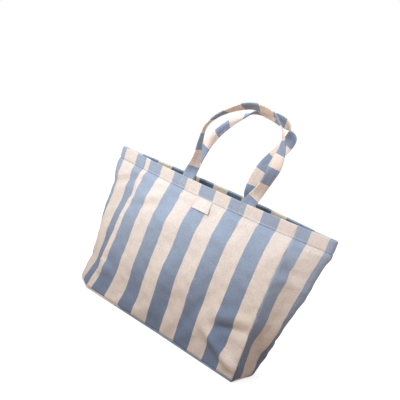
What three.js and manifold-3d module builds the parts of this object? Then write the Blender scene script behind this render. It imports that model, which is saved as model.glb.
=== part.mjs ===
// A striped canvas tote bag, standing open on its base with both handles up.
// Millimetres, +Z up, +X to the bag's right, the label on the -Y side.
// The origin is the middle of the base's underside.
import * as THREE from "three";
import { mergeVertices } from "three/addons/utils/BufferGeometryUtils.js";
import Module from "manifold-3d";

// ---- Driving dimensions ----
const panelWidth = 364;          // front and back panels, seam to seam
const gussetWidth = 157.5;       // each end gusset, seam to seam round its centre fold
const bagHeight = 315;           // floor to rim
const baseHalfDepth = 75;        // middle of the base to its front seam
const rimHalfGap = 13;           // middle of the mouth to the rim at a seam
const rimCrown = 9;              // how much wider the mouth is at its middle
const bellyCrown = 9;            // how far the panels bow out between base and hem
const tipRadius = 5;             // round of the gusset's centre fold at the rim
const baseEndRadius = 45;        // round of the gusset at the base
const clothThickness = 1.4;
const hemDepth = 25;             // cloth turned in at the rim
const sewnGap = 0.3;             // clearance between pieces that are sewn face to face
const baseThickness = 2.2;       // base floor
const baseRimHeight = 5;         // the base panel turns up this far to its seam
const bindingWidth = 8;          // tape over the raw edges of a seam, inside
const bindingThickness = 1.2;
const strapWidth = 25;
const strapThickness = 3;
const strapSpacing = 144;        // between the two legs of one handle
const strapRise = 177;           // rim to the top of a handle's centre line
const sewnEndLength = 23;        // strap sewn down behind the hem
const hingeLift = 1;             // handle's bending line above the rim
const threadWidth = 1;
const threadHeight = 0.5;
const boxStitchWidth = 20;
const boxStitchHeight = 15;
const labelWidth = 38;
const labelHeight = 24;
const labelTabHeight = 4;        // the label's sewn top edge
const labelThickness = 0.9;
const labelX = -10;
const labelGap = 0.7;            // the label stands off the cloth below the hem

// ---- Sizes that follow ----
const halfWidth = panelWidth / 2;
const halfGusset = gussetWidth / 2;
const hemLine = bagHeight - hemDepth;
const foldRadius = (clothThickness + sewnGap) / 2;
const foldStart = bagHeight - foldRadius - clothThickness / 2;
const panelFoot = baseRimHeight + sewnGap;
const cornerGap = clothThickness / 2 + 0.4;
const strapInset = 2 * (clothThickness + sewnGap) - clothThickness / 2 + strapThickness / 2;
const outerFace = clothThickness / 2 + sewnGap;

// Where every sheet bends on its way up, closest below the hem.
const rowShare = (share) => 1 - (1 - share) ** 1.6;
const clothRows = evenly(0, 1, 12).map((i) => panelFoot + (hemLine - panelFoot) * rowShare(i));

// Where every sheet bends on its way across: a panel from seam to seam, and a gusset,
// closely round its fold and widely on its straight runs.
const panelColumns = evenly(-halfWidth + sewnGap, halfWidth - sewnGap, 14);
const foldColumns = evenly(-tipRadius * 1.45, tipRadius * 1.45, 6);
const runColumns = evenly(tipRadius * 1.45, halfGusset - cornerGap, 4).slice(1);
const gussetColumns = [...runColumns.map((s) => -s).reverse(), ...foldColumns, ...runColumns];

const colours = {
  canvas: 0x9db1cc,
  cream: 0xf1e4da,
  shade: 0x6f819e,
  thread: 0xe9ddd0,
  label: 0xf6efe6,
};

// ---- The shape of the bag: one point for each place on the cloth ----

// 0 at the base and 1 from the hem line up.
const climb = (z) => Math.min(Math.max(z / hemLine, 0), 1);

// The value between low and high where tooLow turns false.
function bisect(low, high, tooLow) {
  let [under, over] = [low, high];
  for (let step = 0; step < 40; step += 1) {
    const middle = (under + over) / 2;
    if (tooLow(middle)) under = middle;
    else over = middle;
  }
  return under;
}

// Half a gusset's section: a straight run from the seam, depth away from the middle of
// the bag, then an arc round to the fold. centre is the arc's, outwards from the seam.
function halfSection(centre, depth, radius) {
  const reach = Math.hypot(centre, depth);
  const lean = Math.atan2(depth, centre) - Math.asin(Math.min(radius / reach, 1));
  const run = Math.sqrt(Math.max(reach * reach - radius * radius, 0));
  return { centre, depth, radius, lean, run, length: run + radius * (Math.PI / 2 - lean) };
}

function foldReach(depth, radius) {
  const isShort = (centre) => halfSection(centre, depth, radius).length < halfGusset;
  return bisect(-radius, halfGusset, isShort) + radius;
}

// The fold is a straight line from the base to the hem, and the cloth's length sets the seams.
const baseReach = foldReach(baseHalfDepth, baseEndRadius);
const rimReach = foldReach(rimHalfGap, tipRadius);

function gussetSection(z) {
  const open = 1 - climb(z);
  const radius = tipRadius + (baseEndRadius - tipRadius) * open * open;
  const centre = rimReach + (baseReach - rimReach) * open - radius;
  const isShort = (depth) => halfSection(centre, depth, radius).length < halfGusset;
  return halfSection(centre, bisect(tipRadius, halfGusset, isShort), radius);
}

function crown(z) {
  return rimCrown * climb(z) + bellyCrown * Math.sin(Math.PI * climb(z));
}

function frontPoint(s, z) {
  const across = s / halfWidth;
  const depth = gussetSection(z).depth + crown(z) * (1 - across * across);
  return new THREE.Vector3(s, -depth, z);
}

function rightGussetPoint(s, z) {
  const section = gussetSection(z);
  const along = halfGusset - Math.abs(s);
  const side = s < 0 ? 1 : -1;
  if (along <= section.run) {
    const x = halfWidth + along * Math.cos(section.lean);
    const y = -section.depth + along * Math.sin(section.lean);
    return new THREE.Vector3(x, side * y, z);
  }
  const angle = Math.abs(s) / section.radius;
  const x = halfWidth + section.centre + section.radius * Math.cos(angle);
  return new THREE.Vector3(x, -side * section.radius * Math.sin(angle), z);
}

const turned = (point) => new THREE.Vector3(-point.x, -point.y, point.z);
const backPoint = (s, z) => turned(frontPoint(s, z));
const leftGussetPoint = (s, z) => turned(rightGussetPoint(s, z));

function outward(surface, s, z) {
  const small = 0.05;
  const along = surface(s + small, z).sub(surface(s - small, z));
  const up = surface(s, z + small).sub(surface(s, z - small));
  return along.cross(up).normalize();
}

function offsetPoint(surface, s, z, offset) {
  return surface(s, z).addScaledVector(outward(surface, s, z), offset);
}

// ---- Builders ----

function warp(geometry, place) {
  const position = geometry.getAttribute("position");
  const point = new THREE.Vector3();
  for (let i = 0; i < position.count; i += 1) {
    point.fromBufferAttribute(position, i);
    const moved = place(point);
    position.setXYZ(i, moved.x, moved.y, moved.z);
  }
  geometry.computeVertexNormals();
  return geometry;
}

// A box whose cuts across X and Y come at the given places.
function sheetBlank(columns, rows, thickness) {
  const geometry = new THREE.BoxGeometry(1, 1, thickness, columns.length - 1, rows.length - 1, 1);
  return warp(geometry, (p) => {
    const column = Math.round((p.x + 0.5) * (columns.length - 1));
    const row = Math.round((p.y + 0.5) * (rows.length - 1));
    return new THREE.Vector3(columns[column], rows[row], p.z);
  });
}

// count + 1 places, evenly spread from low to high.
function evenly(low, high, count) {
  return Array.from({ length: count + 1 }, (_, i) => low + ((high - low) * i) / count);
}

// Cloth that climbs to the rim, turns over it and comes down inside as the hem.
function hemmedSheet(surface, columns) {
  const foldLength = Math.PI * foldRadius;
  const insideLength = foldStart - hemLine;
  const rows = [
    ...clothRows,
    ...evenly(hemLine, foldStart, 1).slice(1),
    ...evenly(foldStart, foldStart + foldLength, 4).slice(1),
    foldStart + foldLength + insideLength,
  ];
  return warp(sheetBlank(columns, rows, clothThickness), (p) => {
    if (p.y <= foldStart) return offsetPoint(surface, p.x, p.y, p.z);
    const normal = outward(surface, p.x, foldStart);
    const past = p.y - foldStart;
    if (past <= foldLength + 1e-6) {
      const angle = past / foldRadius;
      const centre = surface(p.x, foldStart).addScaledVector(normal, -foldRadius);
      centre.addScaledVector(normal, (foldRadius + p.z) * Math.cos(angle));
      centre.z += (foldRadius + p.z) * Math.sin(angle);
      return centre;
    }
    const down = foldStart - (past - foldLength);
    return offsetPoint(surface, p.x, down, -2 * foldRadius - p.z);
  });
}

// A flat piece laid on the cloth: x runs along it, y up it and z out of it.
function laidOn(surface, geometry, s, z) {
  return warp(geometry, (p) => offsetPoint(surface, s + p.x, z + p.y, p.z));
}

function patch(surface, s, foot, width, height, thickness, offset) {
  const top = foot + height;
  const rows = [foot, ...clothRows.filter((z) => z > foot + 1 && z < top - 1), top];
  const blank = sheetBlank(evenly(-width / 2, width / 2, 2), rows, thickness);
  blank.translate(0, 0, offset);
  return laidOn(surface, blank, s, 0);
}

// The bag's outline in plan at one height, moved out by offset.
function planOutline(z, offset) {
  const trim = cornerGap / 2 + Math.max(0, -offset);
  const corner = (s, half) => Math.sign(s) * Math.min(Math.abs(s), half - trim);
  const walk = [
    ...panelColumns.map((s) => [frontPoint, corner(s, halfWidth)]),
    ...gussetColumns.map((s) => [rightGussetPoint, corner(s, halfGusset)]),
    ...panelColumns.map((s) => [backPoint, corner(s, halfWidth)]),
    ...gussetColumns.map((s) => [leftGussetPoint, corner(s, halfGusset)]),
  ];
  return walk.map(([surface, s]) => {
    const normal = outward(surface, s, z).setZ(0).normalize();
    const point = surface(s, z).addScaledVector(normal, offset);
    return new THREE.Vector2(point.x, point.y);
  });
}

function ring(z, height, innerOffset, outerOffset) {
  const shape = new THREE.Shape(planOutline(z, outerOffset));
  shape.holes.push(new THREE.Path(planOutline(z, innerOffset)));
  const geometry = new THREE.ExtrudeGeometry(shape, { depth: height, bevelEnabled: false });
  return geometry.translate(0, 0, z);
}

const wasm = await Module();
wasm.setup();

function toSolid(geometry) {
  const bare = geometry.clone();
  bare.deleteAttribute("normal");
  bare.deleteAttribute("uv");
  const merged = mergeVertices(bare, 1e-4);
  const mesh = new wasm.Mesh({
    numProp: 3,
    vertProperties: new Float32Array(merged.getAttribute("position").array),
    triVerts: new Uint32Array(merged.getIndex().array),
  });
  return new wasm.Manifold(mesh);
}

function fromSolid(solid) {
  const mesh = solid.getMesh();
  const geometry = new THREE.BufferGeometry();
  geometry.setAttribute("position", new THREE.BufferAttribute(mesh.vertProperties, 3));
  geometry.setIndex(new THREE.BufferAttribute(mesh.triVerts, 1));
  geometry.computeVertexNormals();
  return geometry;
}

// ---- Sub-parts ----

const group = new THREE.Group();
group.name = "striped_tote_bag";

function add(name, geometry, colour) {
  const material = new THREE.MeshStandardMaterial({ color: colour, roughness: 0.9, metalness: 0 });
  const mesh = new THREE.Mesh(geometry, material);
  mesh.name = name;
  group.add(mesh);
}

function addPanels() {
  add("front_panel", hemmedSheet(frontPoint, panelColumns), colours.canvas);
  add("back_panel", hemmedSheet(backPoint, panelColumns), colours.canvas);
}

function addGussets() {
  add("right_gusset", hemmedSheet(rightGussetPoint, gussetColumns), colours.canvas);
  add("left_gusset", hemmedSheet(leftGussetPoint, gussetColumns), colours.canvas);
}

function addBase() {
  const half = clothThickness / 2;
  const outer = new THREE.ExtrudeGeometry(
    new THREE.Shape(planOutline(0, half)), { depth: baseRimHeight, bevelEnabled: false });
  const pocket = new THREE.ExtrudeGeometry(
    new THREE.Shape(planOutline(0, -half)), { depth: baseRimHeight, bevelEnabled: false });
  pocket.translate(0, 0, baseThickness);
  const tray = toSolid(outer).subtract(toSolid(pocket));
  add("base_panel", fromSolid(tray), colours.shade);
  const inner = -half - cornerGap;
  const binding = ring(panelFoot + 1, bindingWidth, inner - bindingThickness, inner);
  add("base_seam_binding", binding, colours.cream);
}

function addSeamBindings() {
  const foot = panelFoot + bindingWidth + 3;
  const height = hemLine - foot - 4;
  const s = halfWidth - bindingWidth / 2 - 3.5;
  const offset = -outerFace - bindingThickness / 2 - 0.2;
  const places = {
    front_left: [frontPoint, -s],
    front_right: [frontPoint, s],
    back_right: [backPoint, -s],
    back_left: [backPoint, s],
  };
  for (const [place, [surface, along]] of Object.entries(places)) {
    const tape = patch(surface, along, foot, bindingWidth, height, bindingThickness, offset);
    add(`${place}_seam_binding`, tape, colours.cream);
  }
}

// A square of thread with a cross in it.
function boxStitch() {
  const w = boxStitchWidth / 2;
  const h = boxStitchHeight / 2;
  const shape = new THREE.Shape();
  shape.moveTo(-w, -h).lineTo(w, -h).lineTo(w, h).lineTo(-w, h).closePath();
  const inX = w - threadWidth;
  const inY = h - threadWidth;
  const gapX = (threadWidth / 2) * (Math.hypot(inX, inY) / inY);
  const gapY = (threadWidth / 2) * (Math.hypot(inX, inY) / inX);
  const triangles = [
    [[-inX + gapX, -inY], [inX - gapX, -inY], [0, -gapY]],
    [[-inX + gapX, inY], [0, gapY], [inX - gapX, inY]],
    [[-inX, -inY + gapY], [-gapX, 0], [-inX, inY - gapY]],
    [[inX, -inY + gapY], [inX, inY - gapY], [gapX, 0]],
  ];
  for (const corners of triangles) {
    shape.holes.push(new THREE.Path(corners.map(([x, y]) => new THREE.Vector2(x, y))));
  }
  return new THREE.ExtrudeGeometry(shape, { depth: threadHeight, bevelEnabled: false });
}

// Each handle's centre line from its left leg to its right leg, as shares of
// the spacing across and of the rise up, with the depth in mm and the turn of
// the band in degrees: 0 is face-on, 90 is flat.
const handles = {
  front: {
    surface: frontPoint,
    centreX: 5,
    facing: -1,
    route: [
      [-0.51, 0.1, -17.5, 5], [-0.52, 0.25, -18, 25], [-0.54, 0.43, -19, 60], [-0.5, 0.61, -20, 88],
      [-0.36, 0.77, -20, 95], [-0.17, 0.89, -20, 84], [0.05, 0.97, -20, 68], [0.25, 1.0, -20, 62],
      [0.42, 0.97, -20, 66], [0.575, 0.87, -20, 72], [0.655, 0.73, -20, 52], [0.67, 0.55, -19, 26],
      [0.635, 0.35, -18, 10], [0.565, 0.16, -17.5, 2],
    ],
  },
  back: {
    surface: backPoint,
    centreX: -13,
    facing: 1,
    route: [
      [-0.475, 0.1, 17.5, 0], [-0.44, 0.25, 18, 6], [-0.37, 0.41, 19, 14], [-0.25, 0.57, 20, 22],
      [-0.1, 0.7, 20, 40], [0.06, 0.82, 20, 62], [0.22, 0.92, 20, 74], [0.4, 0.95, 20, 70],
      [0.57, 0.935, 20, 58], [0.715, 0.86, 20, 42], [0.765, 0.74, 20, 30], [0.715, 0.6, 20, 22],
      [0.625, 0.43, 19, 12], [0.55, 0.25, 18, 4], [0.51, 0.1, 17.5, 0],
    ],
  },
};

function strapLegs(handle) {
  const signs = [-1, 1];
  return signs.map((sign) => {
    const x = handle.centreX + (sign * strapSpacing) / 2;
    return { x, s: handle.facing < 0 ? x : -x };
  });
}

function strapArch(handle) {
  const stub = bagHeight + hingeLift + sewnGap;
  const [left, right] = strapLegs(handle).map(({ x, s }) => {
    const root = offsetPoint(handle.surface, s, hemLine + 1, -strapInset);
    return new THREE.Vector3(x, root.y, stub);
  });
  const middle = handle.route.map(([across, up, y]) => {
    const x = handle.centreX + across * strapSpacing;
    return new THREE.Vector3(x, y, bagHeight + up * strapRise);
  });
  const curve = new THREE.CatmullRomCurve3([left, ...middle, right], false, "centripetal");
  const turns = [0, ...handle.route.map((row) => row[3]), 0];
  const steps = 52;
  const blank = sheetBlank(evenly(0, 1, steps), evenly(-0.5, 0.5, 2), strapThickness);
  return warp(blank, (p) => {
    const centre = curve.getPoint(p.x);
    const tangent = p.x === 0 ? new THREE.Vector3(0, 0, 1) : curve.getTangent(p.x);
    if (p.x === 1) tangent.set(0, 0, -1);
    const place = p.x * (turns.length - 1);
    const before = Math.min(Math.floor(place), turns.length - 2);
    const turn = THREE.MathUtils.degToRad(
      THREE.MathUtils.lerp(turns[before], turns[before + 1], place - before));
    const outwards = new THREE.Vector3(-tangent.z, 0, tangent.x).normalize();
    const width = outwards.multiplyScalar(Math.cos(turn)).add(new THREE.Vector3(0, -Math.sin(turn), 0));
    const normal = new THREE.Vector3().crossVectors(tangent, width).normalize();
    const square = new THREE.Vector3().crossVectors(normal, tangent).normalize();
    return centre.addScaledVector(square, p.y * strapWidth).addScaledVector(normal, p.z);
  });
}

function addHandles() {
  for (const [side, handle] of Object.entries(handles)) {
    add(`${side}_handle`, strapArch(handle), colours.canvas);
    strapLegs(handle).forEach(({ s }, index) => {
      const leg = `${side}_handle_${["left", "right"][index]}`;
      const foot = bagHeight + hingeLift - sewnEndLength;
      const end = patch(handle.surface, s, foot, strapWidth, sewnEndLength, strapThickness, -strapInset);
      add(`${leg}_sewn_end`, end, colours.canvas);
      const middle = hemLine + 4 + boxStitchHeight / 2;
      const stitch = laidOn(handle.surface, boxStitch().translate(0, 0, outerFace), s, middle);
      add(`${leg}_box_stitch`, stitch, colours.thread);
    });
  }
}

function addHemStitch() {
  const stitch = ring(hemLine + 2, threadWidth, outerFace, outerFace + threadHeight);
  add("hem_topstitch", stitch, colours.thread);
}

function addLabel() {
  const top = hemLine - sewnGap;
  const tabFoot = top - labelTabHeight;
  const flapHeight = labelHeight - labelTabHeight - sewnGap;
  const offset = clothThickness / 2 + labelGap + labelThickness / 2;
  const lay = (foot, height) =>
    patch(frontPoint, labelX, foot, labelWidth, height, labelThickness, offset);
  add("label_tab", lay(tabFoot, labelTabHeight), colours.label);
  add("label_flap", lay(tabFoot - sewnGap - flapHeight, flapHeight), colours.label);
  const threadOffset = offset + labelThickness / 2 + sewnGap + threadHeight / 2;
  const threadFoot = tabFoot + (labelTabHeight - threadWidth) / 2;
  const thread = patch(
    frontPoint, labelX, threadFoot, labelWidth - 4, threadWidth, threadHeight, threadOffset);
  add("label_stitch", thread, colours.thread);
}

addPanels();
addGussets();
addBase();
addSeamBindings();
addHandles();
addHemStitch();
addLabel();

export default group;
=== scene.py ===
"""A wide canvas tote bag in blue and cream stripes, standing open on its flat base.

The four cloth walls are settled by a cloth simulation. Hems, seams, stitches, handles and the label
are then placed on the settled cloth. Lengths are in metres, and a wall's s runs along its width from
its middle, seen from outside.
"""
import math

import bmesh
import bpy
import numpy as np
from mathutils import Matrix, Vector


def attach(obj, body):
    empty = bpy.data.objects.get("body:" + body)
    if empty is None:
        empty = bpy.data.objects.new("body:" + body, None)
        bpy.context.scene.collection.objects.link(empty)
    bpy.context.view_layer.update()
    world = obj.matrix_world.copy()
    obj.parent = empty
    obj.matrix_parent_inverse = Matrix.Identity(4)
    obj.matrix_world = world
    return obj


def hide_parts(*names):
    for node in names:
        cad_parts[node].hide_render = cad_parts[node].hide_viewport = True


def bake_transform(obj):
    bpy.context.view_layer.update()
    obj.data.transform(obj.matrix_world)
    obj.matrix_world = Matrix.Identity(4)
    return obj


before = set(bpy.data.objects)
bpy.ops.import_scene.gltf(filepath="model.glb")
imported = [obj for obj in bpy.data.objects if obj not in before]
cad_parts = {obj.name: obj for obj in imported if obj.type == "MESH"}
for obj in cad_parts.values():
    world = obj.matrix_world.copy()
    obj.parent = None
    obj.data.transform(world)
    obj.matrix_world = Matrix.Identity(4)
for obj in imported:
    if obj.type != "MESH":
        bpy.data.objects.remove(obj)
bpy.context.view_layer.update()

# Driving sizes, shared with the CAD model
PANEL_WIDTH = 0.364
GUSSET_WIDTH = 0.1575
BAG_HEIGHT = 0.315
RIM_HALF_GAP = 0.013
BELLY_CROWN = 0.009
TIP_RADIUS = 0.005
BASE_END_RADIUS = 0.045
HEM_DEPTH = 0.025
STRAP_WIDTH = 0.025
STRAP_SPACING = 0.144
STRAP_RISE = 0.177
SEWN_END_LENGTH = 0.023
FRONT_STRAP_X = 0.005
BACK_STRAP_X = -0.013
LABEL_WIDTH = 0.038
LABEL_HEIGHT = 0.024
LABEL_X = -0.010
BINDING_WIDTH = 0.008
BOX_WIDTH = 0.020
BOX_HEIGHT = 0.015

# The used bag's own shape, which the CAD model doesn't have: its mouth is wider, its foot reaches
# about 49 mm further out at the left end, and its back right corner is drawn in
RIM_CROWN = 0.015
LEFT_BASE_REACH = 0.049
RIGHT_BASE_REACH = 0.027
LEFT_SPREAD = 0.06
RIGHT_SPREAD = 0.03
BASE_DEPTH = 0.150
BASE_SKEW = 0.026
LEFT_FLARE = 0.010
FLARE_WIDENING = 0.10
FLARE_HEIGHT = 0.040

# The base seam's height, the CAD model's base as cut, and half the length of the base's straight middle
BASE_SEAM = 0.0052
SPINE_HALF = 0.150

# The handles' band, how far above the rim it leaves the wall, and how far below it the boxes reach
STRAP_THICKNESS = 0.0026
RIM_LIFT = 0.0013
BOX_DROP = 0.0215

# The label: how far it hangs askew, stands off the wall, lifts at its foot, cups and curls
LABEL_HANG = 0.004
LABEL_GAP = 0.0009
LABEL_LIFT = 0.0034
LABEL_CUP = 0.0010
LABEL_CURL = 0.0007

# Seam tape: its start behind the seam, and the height of its waves
TAPE_START = 0.0030
TAPE_WAVE = 0.0006

# Cloth and thread: thicknesses, stripes and stitches
CANVAS = 0.0010
HEM_OFFSET = 0.0016
LABEL_CLOTH = 0.0007
TAPE_CLOTH = 0.0010
STRIPE = 0.035
PANEL_PHASE = 0.8
GUSSET_PHASE = 0.5
THREAD = 0.0008
STITCH_PITCH = 0.0034
STITCH_LENGTH = 0.0026
TOPSTITCH = 0.0025

# Grid of the cloth that is simulated, and the closer spacing of the finished cloth
PANEL_COLUMNS = 52
GUSSET_COLUMNS = 22
ROWS = 44
SETTLE_FRAMES = 36
HEM_HOLD = 0.85
CLOTH_STEP = 0.0036
HEM_STEP = 0.0012

HALF_WIDTH = PANEL_WIDTH / 2
HALF_GUSSET = GUSSET_WIDTH / 2
HEM_LINE = BAG_HEIGHT - HEM_DEPTH


# ---- the bag's shape

def solve(function, low, high, target):
    """The value between low and high at which a rising function reaches the target."""
    for _ in range(48):
        middle = (low + high) / 2
        if function(middle) < target:
            low = middle
        else:
            high = middle
    return (low + high) / 2


def half_section(centre, depth, radius):
    """Half of a gusset seen from above: a straight run from the seam, then an arc round to the fold."""
    reach = math.hypot(centre, depth)
    lean = math.atan2(depth, centre) - math.asin(min(radius / reach, 1.0))
    run = math.sqrt(max(reach * reach - radius * radius, 0.0))
    return lean, run, run + radius * (math.pi / 2 - lean)


def fold_reach(depth, radius):
    """How far past the seam a gusset's fold comes, when its two seams are depth from the middle."""
    centre = solve(lambda c: half_section(c, depth, radius)[2], -radius, HALF_GUSSET, HALF_GUSSET)
    return centre + radius


RIM_REACH = fold_reach(RIM_HALF_GAP, TIP_RADIUS)


def climb(z):
    """0 at the base, 1 from the foot of the hem up."""
    return min(max(z / HEM_LINE, 0.0), 1.0)


def gusset_section(z, base_reach):
    """Centre and radius of a gusset's fold and depth of its seams, at height z."""
    open_share = 1 - climb(z)
    radius = TIP_RADIUS + (BASE_END_RADIUS - TIP_RADIUS) * open_share * open_share
    centre = RIM_REACH + (base_reach - RIM_REACH) * open_share - radius
    depth = solve(lambda d: half_section(centre, d, radius)[2], TIP_RADIUS, HALF_GUSSET, HALF_GUSSET)
    return centre, depth, radius


def panel_row(z, first_reach, last_reach):
    """Points along the front panel at height z, from one seam to the other."""
    first_depth = gusset_section(z, first_reach)[1]
    last_depth = gusset_section(z, last_reach)[1]
    crown = RIM_CROWN * climb(z) + BELLY_CROWN * math.sin(math.pi * climb(z))
    s = np.linspace(-HALF_WIDTH, HALF_WIDTH, PANEL_COLUMNS + 1)
    depth = first_depth + (last_depth - first_depth) * (s / PANEL_WIDTH + 0.5)
    y = -(depth + crown * (1 - (s / HALF_WIDTH) ** 2))
    return np.stack([s, y, np.full_like(s, z)], axis=-1)


def gusset_row(z, base_reach):
    """Points round the right gusset at height z, from the front seam to the back one."""
    centre, depth, radius = gusset_section(z, base_reach)
    lean, run, _ = half_section(centre, depth, radius)
    points = []
    for s in np.linspace(-HALF_GUSSET, HALF_GUSSET, GUSSET_COLUMNS + 1):
        side = 1 if s > 0 else -1
        along = HALF_GUSSET - abs(s)
        if along <= run:
            x = along * math.cos(lean)
            y = side * (depth - along * math.sin(lean))
        else:
            angle = abs(s) / radius
            x = centre + radius * math.cos(angle)
            y = side * radius * math.sin(angle)
        points.append((HALF_WIDTH + x, y, z))
    return np.array(points)


def slump(grid):
    """Spreads the bag's foot along its length, flares its left end and draws its back right corner in."""
    x, y, z = np.moveaxis(grid, -1, 0)
    lower = 1 - np.clip(z / HEM_LINE, 0, 1)
    back = np.clip(0.5 + y / BASE_DEPTH, 0, 1)
    right = np.clip(x / HALF_WIDTH, 0, 1)
    left = np.clip(-x / HALF_WIDTH, 0, 1)
    foot = bell(z, FLARE_HEIGHT)
    spread = np.where(x > 0, RIGHT_SPREAD, LEFT_SPREAD)
    moved_x = x * (1 + spread * lower) - BASE_SKEW * lower * back * right - LEFT_FLARE * foot * left
    moved_y = y * (1 + FLARE_WIDENING * foot * left)
    return np.stack([moved_x, moved_y, z], axis=-1)


class Wall:
    """One cloth wall: a grid of points, read at any place by smooth interpolation."""

    def __init__(self, name, grid, width, phase, order):
        self.name = name
        self.half = width / 2
        self.phase = phase
        self.order = order
        self.set_grid(grid)

    def set_grid(self, grid):
        """Keeps the grid, and a copy run on by one row and column all round for the interpolation."""
        self.grid = grid
        self.padded = np.pad(grid, ((1, 1), (1, 1), (0, 0)), mode="reflect", reflect_type="odd")

    def smooth(self, s, z):
        """The wall's points at s and z, without its small wrinkles."""
        rows, columns = self.grid.shape[:2]
        across = (s + self.half) / (2 * self.half) * (columns - 1)
        up = (z - BASE_SEAM) / (BAG_HEIGHT - BASE_SEAM) * (rows - 1)
        column = np.clip(np.floor(across), 0, columns - 2).astype(int)
        row = np.clip(np.floor(up), 0, rows - 2).astype(int)
        across_weights = spline_weights(across - column)
        up_weights = spline_weights(up - row)
        total = 0
        for i in range(4):
            for j in range(4):
                weight = up_weights[i] * across_weights[j]
                total = total + weight[..., None] * self.padded[row + i, column + j]
        return total

    def normal(self, s, z):
        """Unit vectors out of the wall."""
        step = 0.0015
        across = self.smooth(s + step, z) - self.smooth(s - step, z)
        up = self.smooth(s, z + step) - self.smooth(s, z - step)
        return unit(np.cross(across, up))

    def point(self, s, z, lift=0.0):
        """The wall's points with its wrinkles, lifted outwards."""
        s, z = np.broadcast_arrays(np.asarray(s, float), np.asarray(z, float))
        height = relief(self, s, z) + lift
        return self.smooth(s, z) + self.normal(s, z) * height[..., None]


def spline_weights(t):
    """Catmull-Rom weights of four neighbours, at t between the middle two."""
    return (
        -0.5 * t + t * t - 0.5 * t ** 3,
        1 - 2.5 * t * t + 1.5 * t ** 3,
        0.5 * t + 2 * t * t - 1.5 * t ** 3,
        -0.5 * t * t + 0.5 * t ** 3,
    )


def unit(vectors):
    """Vectors scaled to length one."""
    return vectors / np.maximum(np.linalg.norm(vectors, axis=-1, keepdims=True), 1e-12)


def make_walls():
    """The four walls in order round the bag, each starting where the one before ends."""
    heights = np.linspace(BASE_SEAM, BAG_HEIGHT, ROWS + 1)
    front = np.array([panel_row(z, LEFT_BASE_REACH, RIGHT_BASE_REACH) for z in heights])
    back = np.array([panel_row(z, RIGHT_BASE_REACH, LEFT_BASE_REACH) for z in heights])
    right = np.array([gusset_row(z, RIGHT_BASE_REACH) for z in heights])
    left = np.array([gusset_row(z, LEFT_BASE_REACH) for z in heights])
    turned = np.array([-1.0, -1.0, 1.0])
    return [
        Wall("front_panel", slump(front), PANEL_WIDTH, PANEL_PHASE, 0),
        Wall("right_gusset", slump(right), GUSSET_WIDTH, GUSSET_PHASE, 1),
        Wall("back_panel", slump(back * turned), PANEL_WIDTH, -PANEL_PHASE, 2),
        Wall("left_gusset", slump(left * turned), GUSSET_WIDTH, GUSSET_PHASE, 3),
    ]


# ---- wrinkles

# Single folds of each wall: middle s and z, direction in degrees, half length, half width, height
FOLDS = {
    "front_panel": [
        (0.142, 0.044, -33, 0.052, 0.013, 0.0150),
        (0.144, 0.091, 16, 0.038, 0.009, -0.0075),
        (0.136, 0.112, 18, 0.042, 0.011, 0.0045),
        (0.060, 0.075, 65, 0.050, 0.012, -0.0035),
        (-0.020, 0.100, 80, 0.070, 0.016, 0.0025),
        (-0.120, 0.250, 28, 0.045, 0.012, 0.0035),
        (-0.140, 0.225, 24, 0.040, 0.010, -0.0030),
        (0.060, 0.235, -20, 0.050, 0.014, 0.0030),
        (-0.050, 0.150, 70, 0.070, 0.020, -0.0030),
        (-0.150, 0.060, -35, 0.040, 0.016, 0.0040),
    ],
    "right_gusset": [
        (-0.052, 0.232, -15, 0.022, 0.007, -0.0050),
        (-0.050, 0.212, -10, 0.022, 0.008, 0.0030),
        (-0.020, 0.130, 75, 0.080, 0.016, 0.0040),
        (-0.045, 0.080, 80, 0.060, 0.012, -0.0040),
    ],
    "left_gusset": [
        (0.040, 0.250, 25, 0.035, 0.009, -0.0050),
        (0.030, 0.110, 100, 0.070, 0.016, 0.0040),
    ],
    "back_panel": [
        (0.110, 0.180, 40, 0.070, 0.014, 0.0040),
        (-0.090, 0.090, -30, 0.060, 0.014, -0.0040),
        (-0.020, 0.230, 10, 0.060, 0.012, 0.0030),
    ],
}

# Waves all over a wall: height, size, and whether they die away at the hem and the base
WAVES = [(0.0015, 0.085, True), (0.0006, 0.030, True), (0.0001, 0.012, False)]

# Heights of the swell below the hem, its waves, the fold, the stitched line and the small puckers
HEM_SWELL = 0.0016
HEM_SWELL_WAVES = 0.0011
HEM_FOLD = -0.0010
HEM_STITCHED = -0.0006
HEM_PUCKERS = 0.00035

# Heights of the dimples at the upright seams and at the base seam
SIDE_DIMPLES = 0.0005
FOOT_DIMPLES = 0.0006


def ripples(a, b, size, seed):
    """Smooth uneven waves between about -1 and 1, of about the given size."""
    rng = np.random.default_rng(seed)
    total = np.zeros(np.shape(a))
    for _ in range(8):
        angle = rng.uniform(0, math.tau)
        length = size * rng.uniform(0.75, 1.7)
        phase = rng.uniform(0, math.tau)
        total += np.sin(math.tau * (a * math.cos(angle) + b * math.sin(angle)) / length + phase)
    return total / 3.2


def bell(values, width):
    """1 at zero, falling smoothly to nothing past the width."""
    return np.exp(-(values / width) ** 2)


def relief(wall, s, z):
    """Height of the wall's small wrinkles over its settled shape."""
    seed = 10 * wall.order
    free = np.clip((z - BASE_SEAM) / 0.03, 0, 1) * np.clip((HEM_LINE - z) / 0.02, 0, 1)
    height = np.zeros(np.shape(s))
    for number, (depth, size, fades) in enumerate(WAVES, start=1):
        height += depth * ripples(s, z, size, seed + number) * (free if fades else 1.0)
    for middle_s, middle_z, degrees, length, width, depth in FOLDS[wall.name]:
        angle = math.radians(degrees)
        along = (s - middle_s) * math.cos(angle) + (z - middle_z) * math.sin(angle)
        across = (z - middle_z) * math.cos(angle) - (s - middle_s) * math.sin(angle)
        height += depth * bell(along, length) * bell(across, width) * free
    height += hem_puckers(s, z, seed + 4)
    height += seam_puckers(wall, s, z, seed + 5)
    return height


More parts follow.
